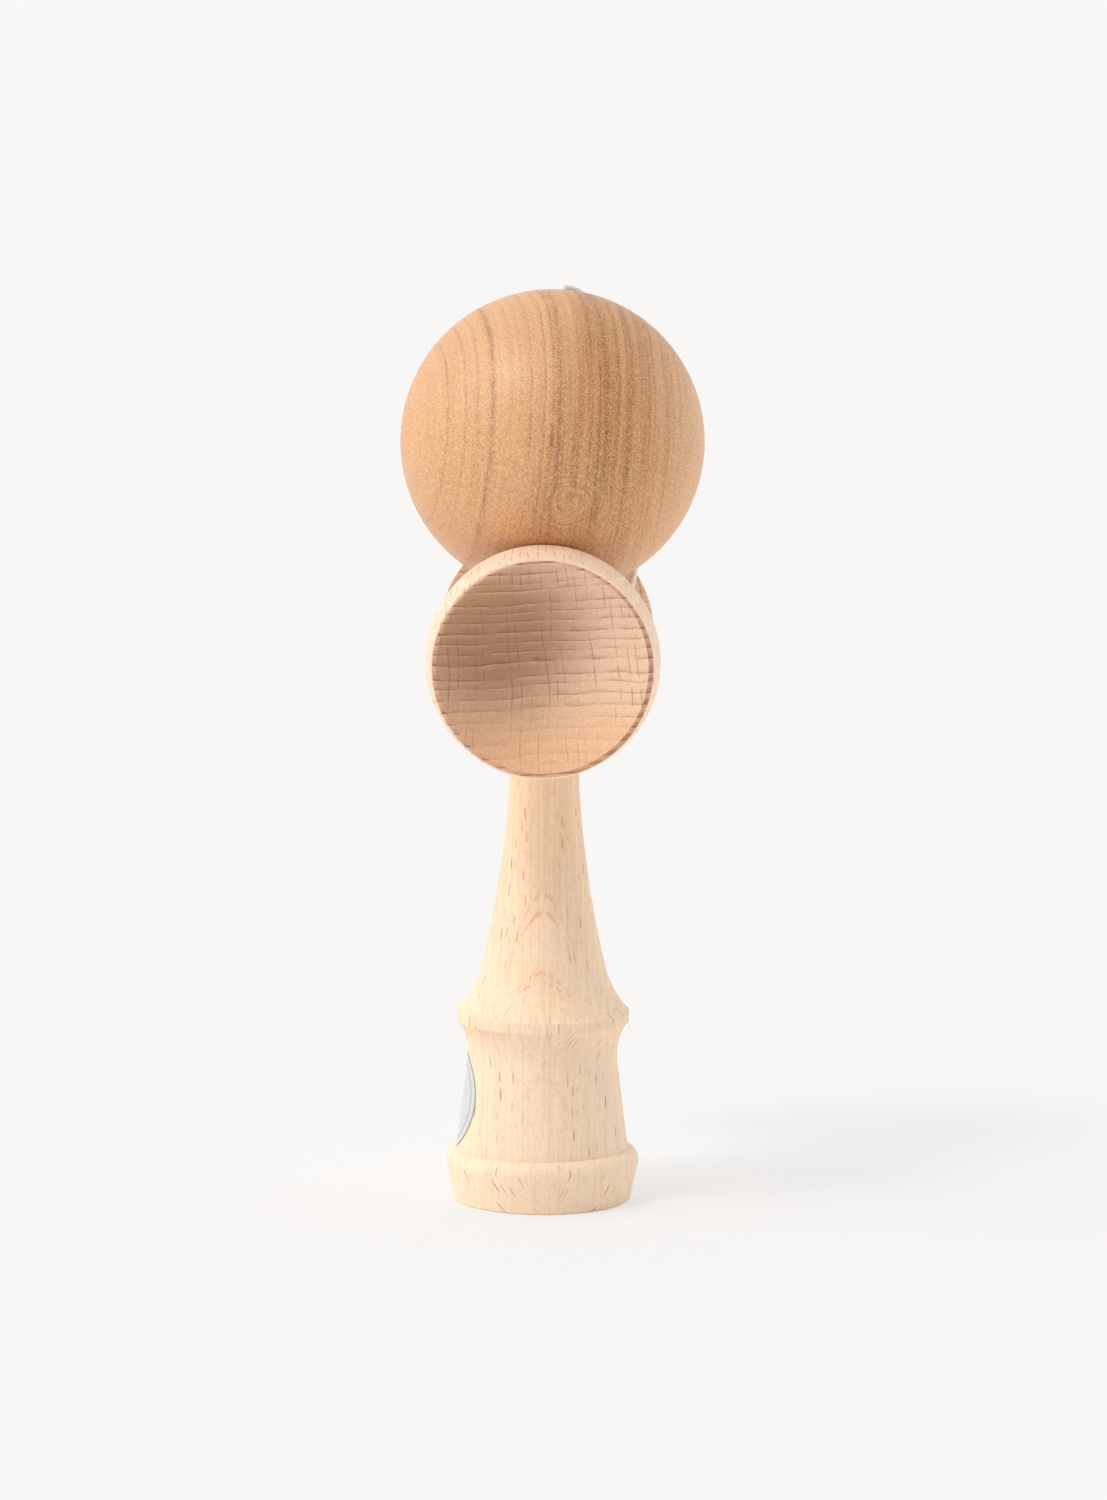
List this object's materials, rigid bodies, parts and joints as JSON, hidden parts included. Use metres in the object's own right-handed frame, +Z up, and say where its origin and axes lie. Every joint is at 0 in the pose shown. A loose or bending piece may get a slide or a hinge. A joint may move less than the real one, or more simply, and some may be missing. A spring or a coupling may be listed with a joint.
{
  "type": "cup and ball toy",
  "caption": "Turned wooden cup and ball toy: a spiked handle with a base cup, a crossing double cup piece, and a drilled ball tethered by a string.",
  "frame": {"origin": "centre of the ring that the handle's base stands on", "axes": "+Z up along the handle to the spike; the cup piece lies along Y with its big cup towards -Y; the string hole is on the +X side"},
  "size_m": [0.06, 0.07, 0.1822],
  "materials": {
    "beech_handle": "bare sanded beech",
    "beech_cups": "bare sanded beech, end grain in the bowls",
    "cherry_ball": "satin clear-coated cherry",
    "cherry_bead": "bare turned wood",
    "foil_seal": "satin foil",
    "string": "twisted white cord"
  },
  "bodies": {
    "handle": {"handle": "beech_handle", "seal": "foil_seal"},
    "cups": {"cup_piece": "beech_cups", "anchor_knot": "string", "string_root": "string", "string_winding": "string", "string_rise": "string"},
    "string_end": {"bead": "cherry_bead", "bead_knot": "string", "string_in_ball": "string"},
    "ball": {"ball": "cherry_ball"}
  },
  "joints": [
    {"name": "cup_piece_pull", "type": "slide", "parent": "handle", "child": "cups", "axis": [0, 0, 1], "range_m": [0, 0.06]},
    {"name": "ball_lift", "type": "slide", "parent": "cups", "child": "string_end", "axis": [0, 0, 1], "range_m": [0, 0.08], "deforming": ["string_rise"]},
    {"name": "ball_spin", "type": "hinge", "parent": "string_end", "child": "ball", "pos_m": [0.0013, 0.0005, 0.15167], "axis": [0.0436, 0.1739, 0.9838], "continuous": true}
  ]
}
